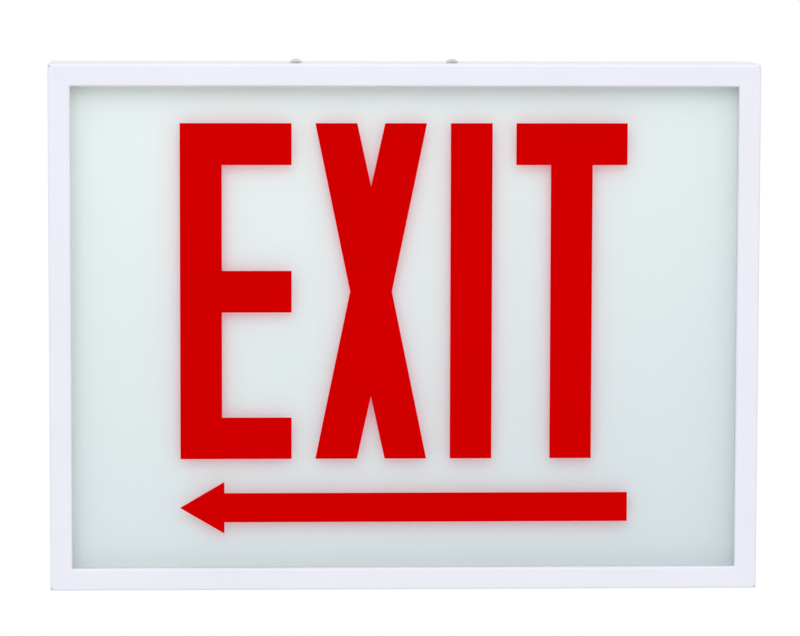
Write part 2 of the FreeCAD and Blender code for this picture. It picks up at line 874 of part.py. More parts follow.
def transformer_core():
    """The laminated core with its two windows."""
    wide, tall = core_size
    leg = wide / 6
    middle = transformer_centre()
    y = (middle.y - core_stack / 2, middle.y + core_stack / 2)
    block = cuboid((middle.x - wide / 2, middle.x + wide / 2), y, (middle.z - tall / 2, middle.z + tall / 2))
    windows = []
    for side in (-1, 1):
        x = (middle.x + side * leg, middle.x + side * 2 * leg)
        windows.append(cuboid(x, y, (middle.z - tall / 2 + leg, middle.z + tall / 2 - leg)))
    return single(block.cut(windows))


def transformer_winding():
    """The bobbin and winding round the core's middle leg."""
    wide, tall = core_size
    leg = wide / 6
    middle = transformer_centre()
    reach_y = core_stack / 2 + winding_swell
    flange_z = tall / 2 - leg
    coil = cuboid(
        (middle.x - 2 * leg + 0.6, middle.x + 2 * leg - 0.6),
        (middle.y - reach_y + 0.6, middle.y + reach_y - 0.6),
        (middle.z - flange_z, middle.z + flange_z),
    )
    upright = [edge for edge in coil.Edges if abs(edge.tangentAt(edge.FirstParameter).z) > 0.9]
    parts = [coil.makeFillet(3.0, upright)]
    for side in (-1, 1):
        parts.append(cuboid(
            (middle.x - 2 * leg, middle.x + 2 * leg),
            (middle.y - reach_y, middle.y + reach_y),
            (middle.z + side * flange_z, middle.z + side * (flange_z - 1.0)),
        ))
    bore = cuboid(
        (middle.x - leg, middle.x + leg),
        (middle.y - core_stack / 2, middle.y + core_stack / 2),
        (middle.z - flange_z, middle.z + flange_z),
    )
    return single(fused(parts).cut(bore))


def transformer_strap():
    """The folded strap that crimps round the core and screws to the tray."""
    wide, tall = core_size
    middle = transformer_centre()
    outer = transformer_half
    lip_y = middle.y - core_stack / 2 - strap_gap - transformer_sheet
    points = [
        Vector(middle.x - outer + 4.0, lip_y, middle.z),
        Vector(middle.x - outer, lip_y, middle.z),
        Vector(middle.x - outer, tray_web, middle.z),
        Vector(middle.x + outer, tray_web, middle.z),
        Vector(middle.x + outer, lip_y, middle.z),
        Vector(middle.x + outer - 4.0, lip_y, middle.z),
    ]
    strap = folded_strip(points, transformer_sheet, Z * (tall * -0.55))
    reach = tall / 2 + transformer_lug / 2
    foot = cuboid(
        (middle.x - transformer_tab, middle.x + transformer_tab),
        (tray_web, tray_web - transformer_sheet),
        (middle.z - reach, middle.z + reach),
    )
    holes = [
        rod(board_screw_radius + screw_gap, Vector(x, tray_web - 3, z), Vector(x, tray_web + 1, z))
        for x, z in transformer_lugs()
    ]
    return single(fused([strap, foot]).cut(holes))


def led_bar():
    """The right-hand hat channel that carries a row of LEDs, on the side wall."""
    wall = hinge_inner
    top = wall - bar_rise
    points = [
        Vector(wall, bar_back + bar_foot, 0),
        Vector(wall, bar_back, 0),
        Vector(top, bar_back, 0),
        Vector(top, bar_front, 0),
        Vector(wall, bar_front, 0),
        Vector(wall, bar_front - bar_foot, 0),
    ]
    bar = folded_strip(points, bar_sheet, Z * -bar_length)
    holes = []
    for z in led_board_screws():
        start = Vector(led_board_x - 1, led_middle_y, z)
        holes.append(rod(board_screw_radius, start, start + X * (bar_sheet + 2)))
    return single(bar.cut(holes))


def led_board_screws():
    """The z of the two screws that hold an LED board."""
    reach = led_board_length / 2 - led_screw_inset
    return (-reach, reach)


def led_board():
    """The right-hand LED board on its channel."""
    x = (led_board_x - board_thickness, led_board_x)
    y = (led_middle_y - led_board_width / 2, led_middle_y + led_board_width / 2)
    plate = cuboid(x, y, (-led_board_length / 2, led_board_length / 2))
    holes = []
    for z in led_board_screws():
        start = Vector(x[0] - 1, led_middle_y, z)
        holes.append(rod(board_screw_radius + screw_gap, start, start + X * 4))
    return single(plate.cut(holes))


def leds():
    """The right-hand row of LED packages, each with a shallow round lens."""
    high, long, thick = led_size
    face = led_board_x - board_thickness
    spacing = (led_board_length - 2 * led_end_room) / (led_count - 1)
    shapes = []
    for place in range(led_count):
        z = (place - (led_count - 1) / 2) * spacing
        case = cuboid(
            (face, face - thick * 0.7),
            (led_middle_y - high / 2, led_middle_y + high / 2),
            (z - long / 2, z + long / 2),
        )
        base = Vector(face - thick * 0.7, led_middle_y, z)
        lens = Part.makeCone(high * 0.45, high * 0.3, thick * 0.3, base, X * -1)
        shapes.append(fused([case, lens]))
    return shapes


def battery_axis_z():
    """The height of the battery's axis over its clips."""
    return bottom_inside + battery_clip_sheet + pin_gap + cell_radius


def battery_pack():
    """Four cells end to end in a heat-shrunk sleeve."""
    outline = [Vector(0, 0, 0)]
    dip = 0.5
    for cell in range(cell_count):
        start, end = cell * cell_length, (cell + 1) * cell_length
        outline.append(Vector(start, 0, cell_radius - dip))
        outline.append(Vector(start + 1.2, 0, cell_radius))
        outline.append(Vector(end - 1.2, 0, cell_radius))
    outline.append(Vector(cell_count * cell_length, 0, cell_radius - dip))
    outline.append(Vector(cell_count * cell_length, 0, 0))
    outline.append(outline[0])
    pack = Part.Face(Part.makePolygon(outline)).revolve(ORIGIN, X, 360)
    pack.translate(Vector(battery_left, -battery_back, battery_axis_z()))
    return pack


def battery_clip(cell):
    """A spring-steel saddle on the bottom wall, open at its top."""
    middle_x = battery_left + (cell + 0.5) * cell_length
    z = battery_axis_z()
    x = (middle_x - battery_clip_length / 2, middle_x + battery_clip_length / 2)
    start, end = Vector(x[0], -battery_back, z), Vector(x[1], -battery_back, z)
    outer = cell_radius + pin_gap + battery_clip_sheet
    cradle = rod(outer, start, end)
    foot = cuboid(x, (start.y - 5, start.y + 5), (bottom_inside, bottom_inside + 2 * battery_clip_sheet))
    mouth_z = (z - cell_radius + battery_mouth, z + 2 * outer)
    mouth = cuboid(x, (start.y - 2 * outer, start.y + 2 * outer), mouth_z)
    bore = rod(cell_radius + pin_gap, start, end)
    return single(fused([cradle, foot]).cut(bore).cut(mouth))


def switch_point(z):
    """A point on the test switch's axis, at a height over the bottom wall's outer face."""
    return Vector(switch_place[0], switch_place[1], -half_height + z)


def test_switch_body():
    """The panel switch's body: flange, threaded neck and rear housing round the plunger's bore."""
    radius, thick = switch_flange
    side, tall = switch_housing
    flange = rod(radius, switch_point(-thick), switch_point(0))
    neck = rod(switch_radius, switch_point(0), switch_point(sheet + switch_neck))
    low, high = switch_point(sheet + switch_neck), switch_point(sheet + switch_neck + tall)
    housing = cuboid(
        (low.x - side / 2, low.x + side / 2),
        (low.y - side / 2, low.y + side / 2),
        (low.z, high.z),
    )
    bore = rod(button_radius + button_gap, switch_point(-thick - 1), switch_point(collar_seat))
    chamber = rod(button_collar[0] + button_gap, switch_point(collar_seat), switch_point(spring_top))
    return single(fused([flange, neck, housing]).cut([bore, chamber]))


def test_button():
    """The plunger, whose collar stops it from falling out of the neck."""
    bottom = -switch_flange[1] - button_reach
    stem = rod(button_radius, switch_point(bottom), switch_point(collar_seat))
    rim = [edge for edge in stem.Edges if abs(edge.CenterOfMass.z - switch_point(bottom).z) < 0.01]
    stem = stem.makeFillet(0.8, rim)
    collar = rod(button_collar[0], switch_point(collar_seat), switch_point(spring_seat))
    boss = rod(spring_radius - spring_wire - 0.3, switch_point(spring_seat), switch_point(spring_seat + 1.6))
    return fused([stem, collar, boss])


def test_switch_spring():
    """The return spring over the plunger, coiled from short arcs."""
    steps = spring_turns * spring_steps
    rise = (spring_room - 2 * spring_wire) / steps
    reach = spring_radius / math.cos(math.pi / spring_steps)
    points = []
    for step in range(steps + 1):
        angle = 2 * math.pi * step / spring_steps
        across = Vector(math.cos(angle), math.sin(angle), 0) * reach
        points.append(switch_point(spring_seat + spring_wire + rise * step) + across)
    return swept(points, spring_wire)[0]


def test_switch_nut():
    """The nut that clamps the switch to the bottom wall."""
    start, end = switch_point(sheet), switch_point(sheet + switch_nut_height)
    return hexagon(switch_nut_flats, start, end).cut(rod(switch_radius, start, end))


def indicator_point(z):
    """A point on the indicator's axis, at a height over the bottom wall's outer face."""
    return Vector(indicator_place[0], indicator_place[1], -half_height + z)


def indicator_bezel():
    """The snap-in bezel round the charge indicator."""
    radius, thick = indicator_flange
    flange = rod(radius, indicator_point(-thick), indicator_point(0))
    neck = rod(indicator_neck, indicator_point(0), indicator_point(sheet + 5.0))
    barb = Part.makeCone(indicator_neck + 0.5, indicator_neck, 2.0, indicator_point(sheet + 0.3), Z)
    bore = rod(indicator_lens_radius + pin_gap, indicator_point(-thick - 1), indicator_point(20))
    return single(fused([flange, neck, barb]).cut(bore))


def indicator_lens():
    """The indicator LED with its domed tip and base rim."""
    tip = -indicator_flange[1] - 0.4
    body = rod(indicator_lens_radius, indicator_point(tip), indicator_point(sheet + 6.0))
    dome = Part.makeSphere(indicator_lens_radius, indicator_point(tip), Z)
    rim = rod(indicator_lens_radius + 0.6, indicator_point(sheet + 5.0), indicator_point(sheet + 6.0))
    return fused([body, dome, rim])


def swept(points, radius):
    """A round wire along straight runs and tangent arcs, with its path and its bend radii."""
    runs = [before.distanceToPoint(after) for before, after in zip(points, points[1:])]
    bends = []
    for before, corner, after, first, second in zip(points, points[1:], points[2:], runs, runs[1:]):
        turn = math.pi - (before - corner).getAngle(after - corner)
        bends.append(0.45 * min(first, second) / math.tan(turn / 2))
    path = Part.Wire(rounded_path(points, bends))
    circle = Part.Wire(Part.makeCircle(radius, points[0], points[1] - points[0]))
    return path.makePipeShell([circle], True, False), path, bends


def lead(node, points):
    """One insulated lead, with a note of its bends and of its volume against its length."""
    solid, path, bends = swept(points, lead_radius)
    ratio = solid.Volume / (math.pi * lead_radius ** 2 * path.Length)
    print(node, "bend radii", [round(bend, 1) for bend in bends], "volume ratio", round(ratio, 4))
    return solid


def socket_mouth(place):
    """Where a lead enters its socket on the charger board."""
    return Vector(socket_x(place), board_front - lead_height, board_z)


def battery_route():
    """From the battery's left end, up the back plate to the charger board."""
    start = Vector(battery_left, -battery_back, battery_axis_z())
    end = socket_mouth(1)
    return [
        start,
        start + Vector(-12, 0, 0),
        start + Vector(-21, 7, 9),
        Vector(start.x - 24, lead_y - 1, start.z + 29),
        Vector(start.x - 18, lead_y, start.z + 63),
        Vector(start.x - 14, lead_y, start.z + 107),
        Vector(-152, lead_y, 4),
        Vector(-132, lead_y, 36),
        Vector(end.x - 41.5, lead_y, end.z - 44),
        Vector(end.x - 15.5, lead_y - 1.5, end.z - 34),
        end + Vector(-4, 3, -22),
        end + Vector(0, 0, -12),
        end,
    ]


def led_start(side):
    """The solder pads at the upper end of an LED board."""
    x = led_board_x - board_thickness - lead_radius - 0.1
    return Vector(side * x, led_middle_y + 5.8, led_board_length / 2 - 11)


def left_led_route():
    """From the left LED board, over the back plate to the charger board."""
    start = led_start(-1)
    end = socket_mouth(0)
    return [
        start,
        start + Vector(0, 0, 14),
        start + Vector(6, 6.5, 30),
        Vector(start.x + 22, lead_y, start.z + 34),
        Vector(-150, lead_y, start.z + 28),
        Vector(-120, lead_y, end.z + 14),
        Vector(end.x - 26.5, lead_y, end.z - 6),
        Vector(end.x - 14.5, lead_y - 1, end.z - 18),
        Vector(end.x - 5.5, lead_y - 6, end.z - 24),
        end + Vector(0, 0, -13),
        end,
    ]


def right_led_route():
    """From the right LED board, over the back plate to the charger board."""
    start = led_start(1)
    end = socket_mouth(3)
    return [
        start,
        start + Vector(0, 0, 14),
        start + Vector(-6, 6.5, 30),
        Vector(start.x - 22, lead_y, start.z + 34),
        Vector(148, lead_y, start.z + 30),
        Vector(104, lead_y, end.z + 18),
        Vector(70, lead_y, end.z),
        Vector(end.x + 76, lead_y, end.z - 14),
        Vector(end.x + 42, lead_y, end.z - 20),
        Vector(end.x + 20, lead_y - 2, end.z - 21),
        end + Vector(5, 3, -18),
        end + Vector(0, 0, -11),
        end,
    ]


def switch_route():
    """From the test switch, up the back plate to the charger board."""
    start = switch_point(sheet + switch_neck + switch_housing[1])
    end = socket_mouth(2)
    return [
        start,
        start + Vector(0, 0, 10),
        start + Vector(2, 11, 22),
        Vector(start.x + 8, lead_y - 1, start.z + 38),
        Vector(start.x + 10, lead_y, start.z + 66),
        Vector(start.x, lead_y, start.z + 102),
        Vector(132, lead_y, 2),
        Vector(102, lead_y, 32),
        Vector(64, lead_y, end.z - 50),
        Vector(end.x + 76, lead_y, end.z - 41),
        Vector(end.x + 40, lead_y, end.z - 37),
        Vector(end.x + 16, lead_y - 3, end.z - 33),
        end + Vector(2, 2, -21),
        end + Vector(0, 0, -12),
        end,
    ]


def second_lead(points, first_shift, spread):
    """The route beside a route: its ends keep to their pads and its middle keeps to spread."""
    shifts = [first_shift] * 3 + [spread] * (len(points) - 5) + [X * lead_spacing] * 2
    return [point + shift for point, shift in zip(points, shifts)]


def lead_saddle(points, spread, run):
    """A stick-on saddle that holds a pair of leads to the back plate, at the middle of a run."""
    room = lead_radius + lead_room
    half = lead_spacing + 3.0
    reach = lead_spacing / 2 + room + 1.2
    block = cuboid((-half, half), (plate_face, lead_y - room - 1.0), (-4, 4))
    saddle = single(block.cut(cuboid((-reach, reach), (lead_y - room, lead_y + room), (-5, 5))))
    start, end = points[run], points[run + 1]
    way = end - start
    saddle.rotate(ORIGIN, Y, math.degrees(math.atan2(way.x, way.z)))
    middle = (start + end + spread) * 0.5
    saddle.translate(Vector(middle.x, 0, middle.z))
    return saddle


def lead_pairs():
    """Each pair's node, route, shift at its start, spread beyond that, and runs held by a saddle."""
    gap = lead_spacing
    return [
        ("battery_leads", battery_route(), Y * gap, Vector(gap, 0, -gap), (4, 6)),
        ("left_led_leads", left_led_route(), Y * -gap, Vector(gap, 0, gap), (3,)),
        ("right_led_leads", right_led_route(), Y * -gap, Z * gap, (4, 7)),
        ("switch_leads", switch_route(), X * gap, Vector(gap, 0, gap), (5, 7)),
    ]


export("front_frame", front_frame())
export("back_box", back_box())
export("glass_gasket", ring(stack_overlap, 0.0, gasket_front, glass_front))
export("glass_pane", ring(stack_overlap, None, glass_front, spacer_front))
export("spacer_frame", ring(stack_overlap, spacer_setback, spacer_front, diffuser_front))
export("diffuser_sheet", ring(stack_overlap, None, diffuser_front, clip_front))
export("clip_studs", along_border(clip_stud, clips_along_top, clips_along_side))
export("pane_clips", along_border(pane_clip, clips_along_top, clips_along_side))
export("clip_nuts", along_border(clip_nut, clips_along_top, clips_along_side))
export("door_hinge_leaves", [hinge_leaf(z, -1, (1,)) for z in hinge_heights])
export("box_hinge_leaves", [hinge_leaf(z, 1, (0, 2)) for z in hinge_heights])
export("hinge_pins", [hinge_pin(z) for z in hinge_heights])
export("catch_studs", [catch_stud(z) for z in catch_heights])
export("catch_clips", [catch_clip(z) for z in catch_heights])
export("entry_bushing", entry_bushing())
export("ground_screw", ground_screw())
export("gear_tray", gear_tray())
export("tray_screws", [tray_screw(x) for x in tray_screw_places()])
export("tray_nuts", [tray_nut(x) for x in tray_screw_places()])
export("charger_board", charger_board())
export("board_standoffs", [board_standoff(x, z) for x, z in standoff_places()])
export("board_screws", [
    pan_screw(Vector(x, board_front, z), Y * -1, board_thickness + standoff - 1) for x, z in standoff_places()
])
beside_relay = relay_place[0] + relay_size[0] + small_capacitor_gap + small_capacitor[0]
export("filter_capacitors", [
    capacitor(*large_capacitor),
    capacitor(*middle_capacitor),
    capacitor(beside_relay, relay_place[1] + 10.0, *small_capacitor),
])
export("transfer_relay", relay())
export("heat_sink", heat_sink())
export("charge_regulator", regulator())
export("fuse", fuse())
export("fuse_clips", [fuse_clip(side) for side in (-1, 1)])
export("terminal_block", terminal_block())
export("lead_sockets", [lead_socket(place) for place in range(socket_count)])
export("transformer_core", transformer_core())
export("transformer_winding", transformer_winding())
export("transformer_strap", transformer_strap())
export("transformer_screws", [
    pan_screw(Vector(x, tray_web - transformer_sheet, z), Y * -1, transformer_sheet + sheet)
    for x, z in transformer_lugs()
])
export("led_channels", [mirrored(led_bar()), led_bar()])
export("led_boards", [mirrored(led_board()), led_board()])
export("led_packages", [mirrored(led) for led in leds()] + leds())
led_face_x = led_board_x - board_thickness
export("led_board_screws", [
    pan_screw(Vector(side * led_face_x, led_middle_y, z), X * -side, board_thickness + bar_sheet + 1)
    for side in (-1, 1) for z in led_board_screws()
])
export("battery_pack", battery_pack())
export("battery_clips", [battery_clip(cell) for cell in (0, cell_count - 1)])
export("test_switch_body", test_switch_body())
export("test_button", test_button())
export("test_switch_spring", test_switch_spring())
export("test_switch_nut", test_switch_nut())
export("indicator_bezel", indicator_bezel())
export("indicator_lens", indicator_lens())
for node, points, first_shift, spread, held_runs in lead_pairs():
    export(node, [lead(node, points), lead(node, second_lead(points, first_shift, spread))])
export("lead_saddles", [
    lead_saddle(points, spread, run)
    for node, points, first_shift, spread, held_runs in lead_pairs() for run in held_runs
])
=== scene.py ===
import math

import bmesh
import bpy
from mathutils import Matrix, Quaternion, Vector


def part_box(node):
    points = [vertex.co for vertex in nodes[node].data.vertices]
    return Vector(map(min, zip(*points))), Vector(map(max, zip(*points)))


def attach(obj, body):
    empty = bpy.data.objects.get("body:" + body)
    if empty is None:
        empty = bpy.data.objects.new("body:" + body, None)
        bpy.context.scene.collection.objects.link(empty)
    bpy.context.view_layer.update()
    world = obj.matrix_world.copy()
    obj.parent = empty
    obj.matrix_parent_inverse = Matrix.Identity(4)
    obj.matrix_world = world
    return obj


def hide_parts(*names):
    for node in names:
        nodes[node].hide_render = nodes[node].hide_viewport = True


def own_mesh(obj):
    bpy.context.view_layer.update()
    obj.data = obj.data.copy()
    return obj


# Emergency exit light, in metres, in the frame's own axes: the window faces -Y and +Z is up.
# Values that end in _mm, and the profiles of turned parts, are in millimetres.
mm = 0.001

# Print on the glass
letter_left = -0.1366
letter_top = 0.1246
letter_height = 0.2048
letter_width = 0.0677
letter_stroke = 0.0254
letter_gap = 0.01445
notch_depth = 0.0384
arrow_left = -0.1370
arrow_right = 0.1365
arrow_middle = -0.1102
arrow_head = (0.0271, 0.0318)
arrow_shaft = 0.0179
print_thickness = 0.00015
print_colour = ((0.615, 0.0, 0.0), (0.635, 0.0, 0.0))
print_shadow = (0.88, 0.34, 0.42)

# Diffuser: its two tones, the painted shade that moves it between them per metre to the right and up
# (darker to the right, lighter upwards), and how far they drift
diffuser_tones = ((0.72, 0.785, 0.835), (0.93, 0.965, 0.98))
diffuser_painted_shade = (-0.70, 0, 2.45)
diffuser_drift = (0.42, 0.58)

# Small parts of the charger board: (right, up) of its lower left corner, and the turn in degrees
resistor_places_mm = ((14, 38, 0), (14, 42.5, 0), (40, 27, 90), (44, 27, 90), (13, 13.5, 0), (30, 13.5, 0))
diode_places_mm = ((40, 40, 90), (44, 40, 90), (78, 24, 0), (78, 28.5, 0))
ceramic_places_mm = ((84, 36.5), (45.5, 14.5), (32, 47.2))
ceramic_rise_mm = 4.0
ceramic_foot_mm = 1.3
trimmer_place_mm = (76, 15.5)
trimmer_width_mm = 6.4
trimmer_height_mm = 5.0
transistor_place_mm = (83.5, 15)
transistor_radius_mm = 2.3
transistor_flat_mm = 1.3
transistor_span_mm = (3.0, 7.6)
transistor_pitch_mm = 1.27

# Clamp screws of the terminal block
terminal_ways = 4
clamp_depth = 0.0033
clamp_rise = 0.006
clamp_height_mm = 1.25

# Chips between the lights of the LED boards
led_board_thickness = 0.0016
chip_count = 7
chip_pitch = 0.028
chip_back = -0.0262
chip_size_mm = (0.6, 1.2, 1.4)
chip_cap_mm = 0.36
chip_cap_offset = 0.00085

# Test switch spring, with closed ends that take a share of its wire each
spring_turns = 5
spring_steps = 24
spring_wire = 0.00035
spring_closed = 0.15

# Camera
focal_length = 180.0
camera_azimuth = math.radians(-2.346)
camera_elevation = math.radians(5.505)
camera_roll = math.radians(0.139)
camera_distance = 2.4303
camera_aim = (-0.0031, 0.0065)
sensor_width = 36.0
clip_range = (0.05, 50.0)

# Light
ambient = 0.815
key_power = 38.5
key_size = (3.0, 2.5)
key_distance = 3.6
key_azimuth = math.radians(-6)
key_elevation = math.radians(35)
top_power = 3.6
top_size = (1.8, 1.6)
top_distance = 2.0
top_azimuth = 0.0
top_elevation = math.radians(80)

# What reflections see of the room, by the height of their direction, and the floor
room_heights = (0.0, 0.35)
room_tones = (0.35, 1.0)
floor_drop = 2.2
floor_size = 14.0

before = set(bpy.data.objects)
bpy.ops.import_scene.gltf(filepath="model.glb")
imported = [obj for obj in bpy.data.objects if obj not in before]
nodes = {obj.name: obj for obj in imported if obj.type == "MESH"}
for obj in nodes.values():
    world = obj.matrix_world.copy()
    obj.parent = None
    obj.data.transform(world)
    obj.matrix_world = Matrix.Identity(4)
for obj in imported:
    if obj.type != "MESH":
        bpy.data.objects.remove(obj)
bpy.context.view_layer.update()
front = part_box("front_frame")[0].y
glass_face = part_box("glass_pane")[0].y
upwards = Vector((0, 0, 1))
outwards = Vector((0, -1, 0))
inwards = -outwards


# Shader shortcuts

def shader_of(material):
    """The material's Principled node."""
    return material.node_tree.nodes["Principled BSDF"]


def new_material(name, **sockets):
    """A Principled material with the given sockets set on the shader itself."""
    material = bpy.data.materials.new(name)
    material.use_nodes = True
    for socket, value in sockets.items():
        shader_of(material).inputs[socket.replace("_", " ")].default_value = value
    return material


def add(owner, kind, **settings):
    """A node of a material or the world, with its sockets or its properties set by name."""
    node = owner.node_tree.nodes.new("ShaderNode" + kind)
    for name, value in settings.items():
        socket = name.replace("_", " ")
        if socket in node.inputs:
            node.inputs[socket].default_value = value
        else:
            setattr(node, name, value)
    return node


def join(owner, output, target):
    """A link from an output socket to an input socket."""
    owner.node_tree.links.new(output, target)


def add_either(owner, first, second):
    """A node that gives 1 where either output does."""
    node = add(owner, "Math", operation="MAXIMUM")
    join(owner, first, node.inputs[0])
    join(owner, second, node.inputs[1])
    return node.outputs["Value"]


def texture(material, kind, scale, stretch=(1, 1, 1), **settings):
    """A texture in the object's own metres: scale is its repeats per metre, more where it is stretched."""
    mapping = add(material, "Mapping", Scale=stretch)
    join(material, add(material, "TexCoord").outputs["Object"], mapping.inputs["Vector"])
    node = add(material, "Tex" + kind, Scale=scale, **settings)
    join(material, mapping.outputs["Vector"], node.inputs["Vector"])
    return node


def ramp(material, source, low, high, start=0.3, end=0.7):
    """A colour ramp between two colours, or two grey levels, driven by a texture's output."""
    node = add(material, "ValToRGB")
    for element, place, value in zip(node.color_ramp.elements, (start, end), (low, high)):
        element.position = place
        element.color = (value,) * 3 + (1,) if isinstance(value, float) else tuple(value) + (1,)
    join(material, source, node.inputs["Fac"])
    return node.outputs["Color"]


def colour_by(material, source, low, high, start=0.3, end=0.7):
    """Base colour that drifts between two colours."""
    join(material, ramp(material, source, low, high, start, end), shader_of(material).inputs["Base Color"])


def rough_by(material, source, low, high):
    """Roughness that drifts between two levels."""
    join(material, ramp(material, source, low, high), shader_of(material).inputs["Roughness"])


def bump_by(material, source, height):
    """A bump of the given height in metres."""
    node = add(material, "Bump", Distance=height)
    join(material, source, node.inputs["Height"])
    join(material, node.outputs["Normal"], shader_of(material).inputs["Normal"])


def moulded(name, low, high, rough=(0.35, 0.5), grain=900, height=0.00001):
    """A coated or moulded surface: soft drift in colour and gloss over a fine grain."""
    material = new_material(name)
    drift = texture(material, "Noise", scale=14, Detail=4.0)
    colour_by(material, drift.outputs["Fac"], low, high)
    gloss = texture(material, "Noise", scale=60, Detail=3.0)
    rough_by(material, gloss.outputs["Fac"], *rough)
    peel = texture(material, "Noise", scale=grain, Detail=2.0)
    bump_by(material, peel.outputs["Fac"], height)
    return material


def metal(name, low, high, rough, scratch=(1, 1, 14)):
    """Bare metal with stretched rubbing marks."""
    material = new_material(name, Metallic=1.0)
    marks = texture(material, "Noise", scale=220, stretch=scratch, Detail=5.0)
    colour_by(material, marks.outputs["Fac"], low, high)
    rough_by(material, marks.outputs["Fac"], *rough)
    bump_by(material, marks.outputs["Fac"], height=0.000004)
    return material


def sleeve(name, low, high, wrinkle=160):
    """Heat-shrunk film with fine wrinkles."""
    material = new_material(name)
    folds = texture(material, "Noise", scale=wrinkle, stretch=(1, 3, 3), Detail=4.0, Distortion=0.6)
    colour_by(material, folds.outputs["Fac"], low, high)
    rough_by(material, folds.outputs["Fac"], 0.22, 0.36)
    bump_by(material, folds.outputs["Fac"], height=0.000018)
    return material


def translucent(name, low, high):
    """A glossy, partly see-through moulding whose tint drifts slightly."""
    material = new_material(name, Transmission_Weight=0.35, IOR=1.5, Coat_Weight=0.5)
    drift = texture(material, "Noise", scale=380, Detail=1.0)
    colour_by(material, drift.outputs["Fac"], low, high)
    rough_by(material, drift.outputs["Fac"], 0.08, 0.2)
    return material


def let_light_through(material, tint):
    """Shadow and diffuse rays cross each face with a tint, and the rest see the material."""
    path = add(material, "LightPath")
    straight = add_either(material, path.outputs["Is Shadow Ray"], path.outputs["Is Diffuse Ray"])
    clear = add(material, "BsdfTransparent", Color=tint + (1,))
    mix = add(material, "MixShader")
    join(material, straight, mix.inputs["Fac"])
    join(material, shader_of(material).outputs["BSDF"], mix.inputs[1])
    join(material, clear.outputs["BSDF"], mix.inputs[2])
    join(material, mix.outputs["Shader"], material.node_tree.nodes["Material Output"].inputs["Surface"])


# Materials of the record's slots

def white_powder_coat(name):
    """Fine orange peel under a satin gloss."""
    return moulded(
        name, (0.81, 0.82, 0.905), (0.84, 0.85, 0.93), rough=(0.34, 0.44), grain=1100, height=0.000012
    )


def galvanised_steel(name):
    """Zinc spangle: grains that catch the light each in their own way."""
    material = new_material(name, Metallic=1.0)
    spangle = texture(material, "Voronoi", scale=170, Randomness=1.0)
    colour_by(
        material, spangle.outputs["Color"], (0.50, 0.52, 0.54), (0.68, 0.70, 0.72), start=0.2, end=0.8
    )
    rough_by(material, spangle.outputs["Color"], 0.34, 0.52)
    grain = texture(material, "Noise", scale=700, Detail=3.0)
    bump_by(material, grain.outputs["Fac"], height=0.000006)
    return material


def clear_glass(name):
    """Float glass, faintly green, with the slightest waviness."""
    material = new_material(
        name, Base_Color=(0.965, 0.985, 0.975, 1), Roughness=0.0, IOR=1.45, Transmission_Weight=1.0
    )
    waves = texture(material, "Noise", scale=9, Detail=1.0)
    bump_by(material, waves.outputs["Fac"], height=0.00002)
    let_light_through(material, (0.965, 0.98, 0.975))
    return material


def opal_acrylic(name):
    """The satin opal diffuser, with painted shade: cooler and darker towards its lower right, lighter
    towards its upper left.
    """
    material = new_material(name, IOR=1.49)
    # Painted shade: a slope across the diffuser in its own coordinates darkens the colour to the right and
    # lightens it upwards, where the light falls unevenly
    painted_shade_slope = add(material, "VectorMath", operation="DOT_PRODUCT")
    painted_shade_slope.inputs[1].default_value = diffuser_painted_shade
    join(material, add(material, "TexCoord").outputs["Object"], painted_shade_slope.inputs[0])
    least, most = diffuser_drift
    drift = add(material, "MapRange", To_Min=least, To_Max=most)
    join(material, texture(material, "Noise", scale=5, Detail=2.0).outputs["Fac"], drift.inputs["Value"])
    tone = add(material, "Math", operation="ADD")
    join(material, painted_shade_slope.outputs["Value"], tone.inputs[0])
    join(material, drift.outputs["Result"], tone.inputs[1])
    colour_by(material, tone.outputs["Value"], *diffuser_tones, start=0.0, end=1.0)
    rough_by(material, texture(material, "Noise", scale=40).outputs["Fac"], 0.45, 0.6)
    bump_by(material, texture(material, "Noise", scale=2500).outputs["Fac"], height=0.000003)
    return material


def green_plating(name):
    """The green-plated earth screw."""
    return metal(name, (0.10, 0.30, 0.12), (0.16, 0.42, 0.18), (0.3, 0.45))


def circuit_laminate(name):
    """Green solder mask over copper tracks."""
    material = new_material(name, Coat_Weight=0.4, Coat_Roughness=0.2)
    tracks = texture(material, "Brick", scale=260, Mortar_Size=0.03, Row_Height=0.6, Brick_Width=1.7)
    colour_by(material, tracks.outputs["Fac"], (0.012, 0.085, 0.035), (0.03, 0.17, 0.07), 0.4, 0.6)
    rough_by(material, texture(material, "Noise", scale=300).outputs["Fac"], 0.35, 0.5)
    bump_by(material, tracks.outputs["Fac"], height=0.00003)
    return material


def core_steel(name):
    """A stack of thin laminations, varnished."""
    material = new_material(name, Metallic=0.7)
    layers = texture(material, "Wave", scale=320, bands_direction="Y", Distortion=0.6, Detail=1.0)
    colour_by(material, layers.outputs["Fac"], (0.05, 0.052, 0.058), (0.20, 0.20, 0.21))
    rough_by(material, layers.outputs["Fac"], 0.4, 0.6)
    bump_by(material, layers.outputs["Fac"], height=0.00006)
    return material


def winding_tape(name):
    """Yellow polyester tape wrapped round the winding."""
    material = new_material(name, Coat_Weight=0.3)
    laps = texture(material, "Wave", scale=55, bands_direction="Z", Distortion=1.2, Detail=2.0)
    colour_by(material, laps.outputs["Fac"], (0.62, 0.36, 0.03), (0.78, 0.50, 0.06))
    rough_by(material, laps.outputs["Fac"], 0.25, 0.4)
    bump_by(material, laps.outputs["Fac"], height=0.00005)
    return material


def white_plastic(name):
    return moulded(name, (0.72, 0.72, 0.70), (0.78, 0.78, 0.77))


def black_plastic(name):
    return moulded(name, (0.012, 0.012, 0.013), (0.026, 0.026, 0.028), grain=1600)


def gasket_rubber(name):
    return moulded(
        name, (0.34, 0.35, 0.37), (0.42, 0.43, 0.45), rough=(0.75, 0.9), grain=2200, height=0.00005
    )


def zinc_hardware(name):
    return metal(name, (0.60, 0.60, 0.62), (0.80, 0.80, 0.82), (0.10, 0.22))


def white_laminate(name):
    return moulded(name, (0.70, 0.70, 0.67), (0.78, 0.78, 0.76), rough=(0.3, 0.4), grain=700)


